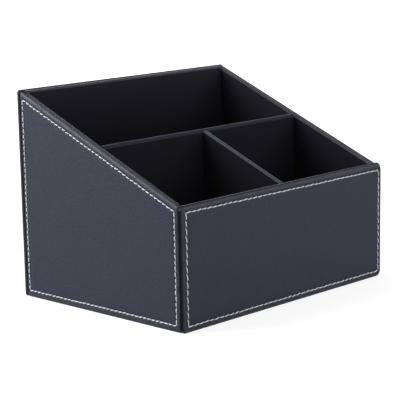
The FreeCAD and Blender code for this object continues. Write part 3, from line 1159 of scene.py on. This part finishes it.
class STORAGEBOX_OT_panels(StorageBoxOperator, bpy.types.Operator):
    """Wrap the four outer panels in leather with rolled edges, a turned hem and a puckered seam line"""

    bl_idname = "storage_box.panels"
    bl_label = "Wrapped Panels"

    def execute(self, context):
        leather, seam = context.scene.storage_box_leather, context.scene.storage_box_seam
        material = leather_finish(leather)
        for side in SIDES:
            panel = PanelShape(side, leather, seam)
            points, faces, tones = wrapped_leather(panel, leather, seam)
            node = side + "_panel_leather"
            cover = add_piece(side + "_panel_cover", points, faces, material, [node], tones)
            flat, area = panel.outline.cut_size(SIZES.panel_thickness + leather.hem_width)
        return {"FINISHED"}


class STORAGEBOX_OT_seams(StorageBoxOperator, bpy.types.Operator):
    """Sew the white seam round each outer panel"""

    bl_idname = "storage_box.seams"
    bl_label = "Seams"

    def execute(self, context):
        leather, seam = context.scene.storage_box_leather, context.scene.storage_box_seam
        material = thread_finish(seam)
        for side in SIDES:
            points, faces, uv = seam_stitches(PanelShape(side, leather, seam), seam)
            node = side + "_panel_stitching"
            add_piece(side + "_panel_seam", points, faces, material, [node], uv=uv)
        return {"FINISHED"}


class STORAGEBOX_OT_wall_strips(StorageBoxOperator, bpy.types.Operator):
    """Fold leather strips over the rims of the four walls"""

    bl_idname = "storage_box.wall_strips"
    bl_label = "Wall Rim Strips"

    def execute(self, context):
        leather = context.scene.storage_box_leather
        section = wall_section(leather)
        starts, ends = sloped_run(section, (-SIZES.inner_y, SIZES.inner_y))
        for sign, side in ((-1, "left"), (1, "right")):
            origin, inward = sloped_origin(sign * SIZES.outer_x), -sign * RIGHT
            points, faces = carried_section(origin, inward, SQUARE_UP, UPHILL, section, starts, ends)
            if side == "left":
                points = dropped_fold(points)
            add_strip(side, "_rim", points, faces, strip_painted_shade(points, side), leather)
        leg = (section[:, 0] > SIZES.board) & (section[:, 1] < SIZES.leather - leather.fold_radius)
        reach = np.where(leg, SIZES.inner_x - SIZES.leather, SIZES.outer_x)
        for sign, side, top in ((-1, "front", SIZES.front_top), (1, "back", SIZES.back_top)):
            origin = np.array((0.0, sign * SIZES.outer_y, top - SIZES.leather))
            points, faces = carried_section(origin, -sign * BACK, UP, RIGHT, section, -reach, reach)
            if side == "front":
                points = lifted_top(points, leather)
            add_strip(side, "_rim", points, faces, strip_painted_shade(points, side), leather)
        return {"FINISHED"}


class STORAGEBOX_OT_divider_strips(StorageBoxOperator, bpy.types.Operator):
    """Fold leather strips over the tops of the two dividers"""

    bl_idname = "storage_box.divider_strips"
    bl_label = "Divider Strips"

    def execute(self, context):
        leather = context.scene.storage_box_leather
        section = divider_section((SIZES.cross_back - SIZES.cross_front) / 2, leather)
        origin = np.array((0.0, (SIZES.cross_back + SIZES.cross_front) / 2, SIZES.cross_top))
        reach = np.full(len(section), SIZES.inner_x - SIZES.leather)
        points, faces = carried_section(origin, BACK, UP, RIGHT, section, -reach, reach)
        dark = np.full(len(points), CROSS_PAINTED_SHADE)
        add_strip("cross_divider", "", points, faces, dark, leather)
        section = divider_section((SIZES.split_right - SIZES.split_left) / 2, leather)
        origin = sloped_origin((SIZES.split_right + SIZES.split_left) / 2)
        starts, ends = sloped_run(section, (-SIZES.inner_y, SIZES.cross_front - SIZES.leather))
        points, faces = carried_section(origin, RIGHT, SQUARE_UP, UPHILL, section, starts, ends)
        add_strip("front_divider", "", points, faces, np.zeros(len(points)), leather)
        return {"FINISHED"}


# Rings of a lining card's back and face beside its rounded edge, as shares of the edge's radius
CARD_FOOT_SHARES = np.array(((8.0, 0.0), (4.0, 0.0), (0.25, 0.0), (0.0, 0.25)))
CARD_FACE_SHARES = np.array((2.0, 6.0))
CARD_WAVELENGTH = 0.025
FLOOR_SEED = 50
FELT_SEED = 60


def oblong(left, near, right, far):
    """Outline of a rectangle."""
    return Outline([(left, near), (right, near), (right, far), (left, far)])


def lining_card(plane, outline, thickness, lining, lap, seed):
    """Lining card: a rounded edge carried round its outline, with a thinner back where it laps a strip.

    lap tells which points of the rings lie over a strip. It is None for a card that laps none.
    """
    radius = lining.edge_radius
    edge = arc((radius, thickness - radius), radius, 180, 90, FOLD_STEPS)
    foot = radius * CARD_FOOT_SHARES
    face = [(radius * share, thickness) for share in CARD_FACE_SHARES]
    section = np.concatenate((foot, edge, face))
    insets = np.repeat(section[:, :1], len(outline.corners), axis=1)
    radii = np.maximum(2 * radius - insets, radius / 2)
    flat = outline.rings(insets, radii, even_shares(outline, CARD_STATION))
    count = flat.shape[1]
    heights = np.repeat(section[:, 1:], count, axis=1)
    if lap is not None:
        lapped = lap(flat)
        heights = np.where(lapped, np.maximum(heights, SIZES.leather), heights)
    points, faces = closed_sheet(plane, flat, heights)
    front = np.zeros(flat.shape[:2])
    front[len(foot):] = 1.0
    lift = over_sheet(front, count, face=1.0) * lining.ripple * ripple(points, CARD_WAVELENGTH, seed)
    return points + lift[:, None] * plane.outward, faces


BAYS = ("rear_bay", "left_bay", "right_bay")

# How much lower some cards end, so that the leather over them shows
BARE_LEATHER = {
    "rear_bay_back_liner": 0.0004,
    "left_bay_back_liner": 0.0012,
    "right_bay_back_liner": 0.0012,
}

# Painted light on the pile at the rims of each bay, and on the cards that differ from their bay
PAINTED_RIM_LIGHT = {
    "rear_bay": 0.75,
    "left_bay": 0.12,
    "right_bay": 0.2,
    "rear_bay_right_liner": 0.5,
    "left_bay_right_liner": 0.0,
}
PAINTED_LIGHT_REACH = 0.012


def rim_fade(points):
    """Painted light on the pile below a rim, fading with depth: exp(-depth / reach)."""
    return np.exp(-np.maximum(SIZES.rim(points[:, 1]) - points[:, 2], 0.0) / PAINTED_LIGHT_REACH)


class STORAGEBOX_OT_liners(StorageBoxOperator, bpy.types.Operator):
    """Line the walls and floors of the three bays with flock"""

    bl_idname = "storage_box.liners"
    bl_label = "Bay Linings"

    def execute(self, context):
        lining = context.scene.storage_box_lining
        material = pile_finish("box_flock", lining.colour, FLOCK_FIBRES, FLOCK_RELIEF)
        for seed, bay in enumerate(BAYS):
            for turn, wall in enumerate(SIDES):
                node = bay + "_" + wall + "_liner"
                points, faces = self.wall_card(node, wall, lining, 10 * seed + turn)
                # Painted light on the pile near the bay's rim
                painted_light = {"rim_fade": PAINTED_RIM_LIGHT.get(node, PAINTED_RIM_LIGHT[bay]) * rim_fade(points)}
                add_piece(bay + "_" + wall + "_flock", points, faces, material, [node], painted_light)
            low, high = node_box(bay + "_floor_pad")
            outline = oblong(low[0], low[1], high[0], high[1])
            plane = Plane(UP * low[2], RIGHT, BACK)
            thickness = high[2] - low[2]
            points, faces = lining_card(plane, outline, thickness, lining, None, FLOOR_SEED + seed)
            add_piece(bay + "_floor_flock", points, faces, material, [bay + "_floor_pad"])
        return {"FINISHED"}

    def wall_card(self, node, wall, lining, seed):
        """Card on one wall of a bay, facing into the bay."""
        low, high = node_box(node)
        level = wall in LEVEL_SIDES
        sign = 1.0 if wall in ("back", "left") else -1.0
        axis, thin = (0, 1) if level else (1, 0)
        across = (RIGHT if level else BACK) * sign
        outward = np.cross(across, UP)
        base = low[thin] if outward[thin] > 0 else high[thin]
        plane = Plane(np.abs(outward) * base, across, UP)
        ends = sorted((sign * low[axis], sign * high[axis]))
        depths = [sign * end for end in ends]
        drop = SIZES.rim(high[1]) - high[2] if not level else 0.0
        level_top = high[2] - BARE_LEATHER.get(node, 0.0)
        tops = [level_top if level else SIZES.rim(depth) - drop for depth in depths]
        outline = Outline([(ends[0], low[2]), (ends[1], low[2]), (ends[1], tops[1]), (ends[0], tops[0])])
        leg = SIZES.strip_leg - drop

        def lap(flat):
            share = (flat[..., 0] - ends[0]) / (ends[1] - ends[0])
            return flat[..., 1] > tops[0] + (tops[1] - tops[0]) * share - leg

        return lining_card(plane, outline, high[thin] - low[thin], lining, lap, seed)


class STORAGEBOX_OT_felt(StorageBoxOperator, bpy.types.Operator):
    """Lay the felt sheet under the base"""

    bl_idname = "storage_box.felt"
    bl_label = "Base Felt"

    def execute(self, context):
        lining = context.scene.storage_box_lining
        low, high = node_box("base_felt")
        outline = oblong(low[0], -high[1], high[0], -low[1])
        plane = Plane(UP * high[2], RIGHT, -BACK)
        points, faces = lining_card(plane, outline, high[2] - low[2], lining, None, FELT_SEED)
        points[:, 2] = np.maximum(points[:, 2], low[2])
        material = pile_finish("box_felt", lining.felt, FELT_FIBRES, FELT_RELIEF)
        piece = add_piece("base_felt_sheet", points, faces, material, ["base_felt"])
        return {"FINISHED"}


class STORAGEBOX_OT_boards(StorageBoxOperator, bpy.types.Operator):
    """Give the carcass boards and the panels' cards their finish"""

    bl_idname = "storage_box.boards"
    bl_label = "Boards and Cards"

    def execute(self, context):
        lining = context.scene.storage_box_lining
        board = board_finish("box_board", lining.board, BOARD_FIBRES)
        card = board_finish("box_card", lining.card, CARD_FIBRES)
        for name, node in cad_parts.items():
            if name.endswith(("_board", "_card")):
                node.data.materials.clear()
                node.data.materials.append(board if name.endswith("_board") else card)
        return {"FINISHED"}


# Half the width of the floor, and the places of the soft lamps by the name of their power
FLOOR_REACH = 8.0
LAMP_SIZE = 0.9
LAMP_AIM = (0.0, 0.0, 0.06)
LAMP_PLACES = {
    "key": (-0.7, 0.7, 1.1),
    "left_fill": (-1.0, 1.0, 0.6),
    "front_fill": (0.0, -1.4, 0.4),
    "right_fill": (1.0, -1.0, 0.6),
    "rim_light": (1.0, 1.0, 0.6),
}


def soft_lamp(name, place, watts):
    """Square soft lamp at a place, turned to the box."""
    data = bpy.data.lights.new(name, "AREA")
    data.shape, data.size, data.energy = "SQUARE", LAMP_SIZE, watts
    lamp = bpy.data.objects.new(name, data)
    bpy.context.scene.collection.objects.link(lamp)
    back = (Vector(place) - Vector(LAMP_AIM)).normalized()
    lamp.matrix_world = Matrix.Translation(place) @ back.to_track_quat("Z", "Y").to_matrix().to_4x4()


class STORAGEBOX_OT_stage(StorageBoxOperator, bpy.types.Operator):
    """Set up the floor, the soft lamps and the camera"""

    bl_idname = "storage_box.stage"
    bl_label = "Stage"

    def execute(self, context):
        stage = context.scene.storage_box_stage
        context.scene.view_settings.view_transform = "Standard"
        self.add_floor(stage)
        self.add_light(context, stage)
        self.add_camera(context, stage)
        return {"FINISHED"}

    def add_floor(self, stage):
        """Wide level floor at the height of the desk."""
        turns = ((-1, -1), (1, -1), (1, 1), (-1, 1))
        corners = [(across * FLOOR_REACH, along * FLOOR_REACH, 0.0) for across, along in turns]
        mesh = bpy.data.meshes.new("stage_floor")
        mesh.from_pydata(corners, [], [(0, 1, 2, 3)])
        mesh.materials.append(floor_finish(stage))
        floor = bpy.data.objects.new("stage_floor", mesh)
        bpy.context.scene.collection.objects.link(floor)

    def add_light(self, context, stage):
        """Even world light, white to the camera, and five soft lamps."""
        world = bpy.data.worlds.new("stage_world")
        world.use_nodes = True
        world.node_tree.nodes.clear()
        wire = Wire(world.node_tree)
        straight = wire.node("ShaderNodeLightPath", output="Is Camera Ray")
        even, seen = (
            wire.node("ShaderNodeBackground", {}, {"Color": (1.0, 1.0, 1.0, 1.0), "Strength": strength})
            for strength in (stage.world, 1.0)
        )
        both = wire.node("ShaderNodeMixShader", {}, {0: straight, 1: even, 2: seen})
        show(wire, both, "ShaderNodeOutputWorld")
        context.scene.world = world
        for power, place in LAMP_PLACES.items():
            soft_lamp(power.split("_")[0] + "_lamp", place, getattr(stage, power))

    def add_camera(self, context, stage):
        """Camera on a line from its aim, turned, raised and rolled."""
        data = bpy.data.cameras.new("view_camera")
        data.lens = stage.lens
        camera = bpy.data.objects.new("view_camera", data)
        context.scene.collection.objects.link(camera)
        level = math.cos(stage.elevation)
        back = Vector((
            -math.sin(stage.azimuth) * level, -math.cos(stage.azimuth) * level, math.sin(stage.elevation)
        ))
        turn = back.to_track_quat("Z", "Y").to_matrix().to_4x4()
        roll = Matrix.Rotation(stage.roll, 4, "Z")
        camera.matrix_world = Matrix.Translation(Vector(stage.aim) + back * stage.distance) @ turn @ roll
        context.scene.camera = camera


class STORAGEBOX_PT_sidebar(bpy.types.Panel):
    """Steps that dress the storage box"""

    bl_idname = "STORAGEBOX_PT_sidebar"
    bl_label = "Desk Storage Box"
    bl_space_type = "VIEW_3D"
    bl_region_type = "UI"
    bl_category = "Storage Box"

    def draw(self, context):
        for group in PROPERTY_GROUPS:
            settings = getattr(context.scene, group)
            box = self.layout.box()
            for name in settings.__annotations__:
                box.prop(settings, name)
        for operator in OPERATORS:
            self.layout.operator(operator.bl_idname)


PROPERTY_GROUPS = {
    "storage_box_leather": LeatherFinish,
    "storage_box_seam": SeamFinish,
    "storage_box_lining": LiningFinish,
    "storage_box_stage": StageSetup,
}
OPERATORS = (
    STORAGEBOX_OT_panels,
    STORAGEBOX_OT_seams,
    STORAGEBOX_OT_wall_strips,
    STORAGEBOX_OT_divider_strips,
    STORAGEBOX_OT_liners,
    STORAGEBOX_OT_felt,
    STORAGEBOX_OT_boards,
    STORAGEBOX_OT_stage,
)


def register():
    """Register the settings, the operators and the sidebar panel."""
    for name, group in PROPERTY_GROUPS.items():
        bpy.utils.register_class(group)
        setattr(bpy.types.Scene, name, PointerProperty(type=group))
    for operator in OPERATORS:
        bpy.utils.register_class(operator)
    bpy.utils.register_class(STORAGEBOX_PT_sidebar)


def unregister():
    """Undo register, in the other order."""
    bpy.utils.unregister_class(STORAGEBOX_PT_sidebar)
    for operator in reversed(OPERATORS):
        bpy.utils.unregister_class(operator)
    for name, group in reversed(PROPERTY_GROUPS.items()):
        delattr(bpy.types.Scene, name)
        bpy.utils.unregister_class(group)


def main():
    """Dress the box step by step."""
    register()
    bpy.ops.storage_box.panels()
    bpy.ops.storage_box.seams()
    bpy.ops.storage_box.wall_strips()
    bpy.ops.storage_box.divider_strips()
    bpy.ops.storage_box.liners()
    bpy.ops.storage_box.felt()
    bpy.ops.storage_box.boards()
    bpy.ops.storage_box.stage()


if __name__ == "__main__":
    main()
